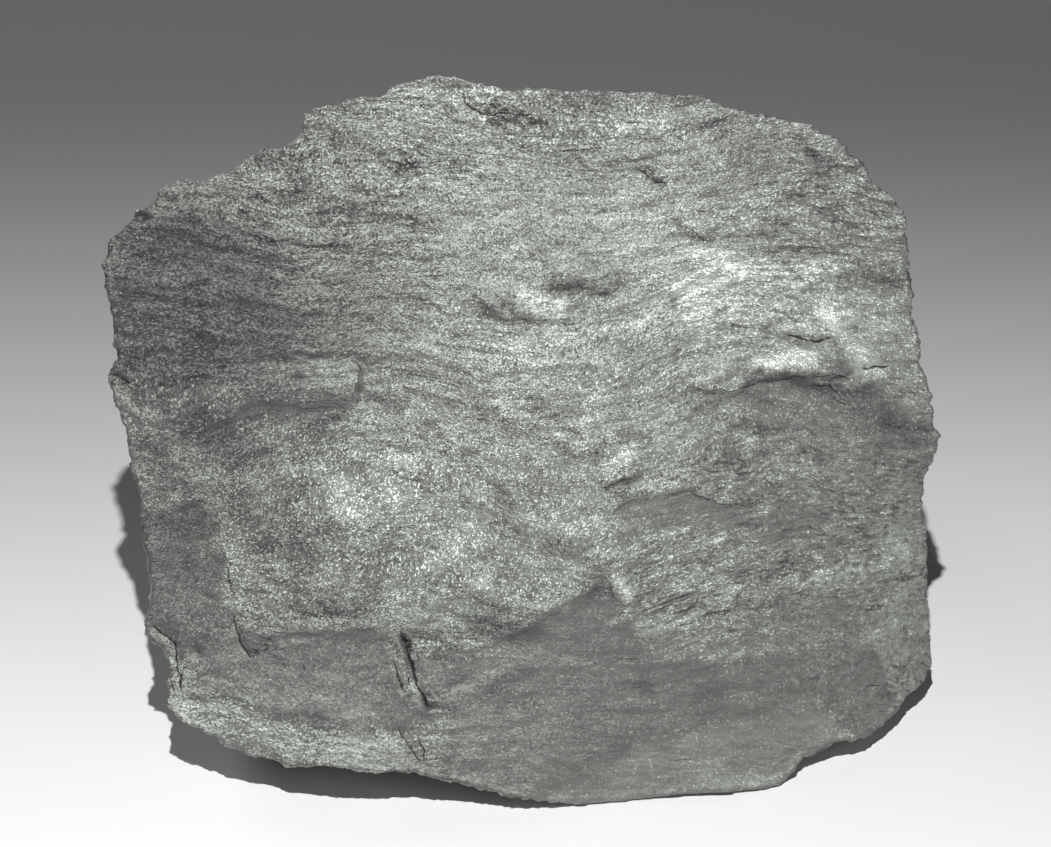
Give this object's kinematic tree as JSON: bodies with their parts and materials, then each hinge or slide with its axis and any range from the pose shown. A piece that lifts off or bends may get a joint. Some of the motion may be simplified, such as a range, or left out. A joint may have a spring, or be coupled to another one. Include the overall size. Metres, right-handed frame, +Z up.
{
  "type": "graphite specimen",
  "caption": "Hand-sized block of foliated graphite, broken on every side, with a broad sparkling face that leans back on a flat break underneath",
  "frame": {"origin": "middle of the bounding box, at the height of the flat break that the block rests on", "axes": "+X along the width of the broad face, left to right as seen from the front; -Y is the way the broad face looks; +Z up"},
  "size_m": [0.0928, 0.0746, 0.0617],
  "materials": {
    "graphite": "steel-grey metallic lustre, fine glittering flakes on the foliated ground, duller on smooth cleavage"
  },
  "bodies": {
    "root": {"graphite_block": "graphite"}
  },
  "joints": []
}
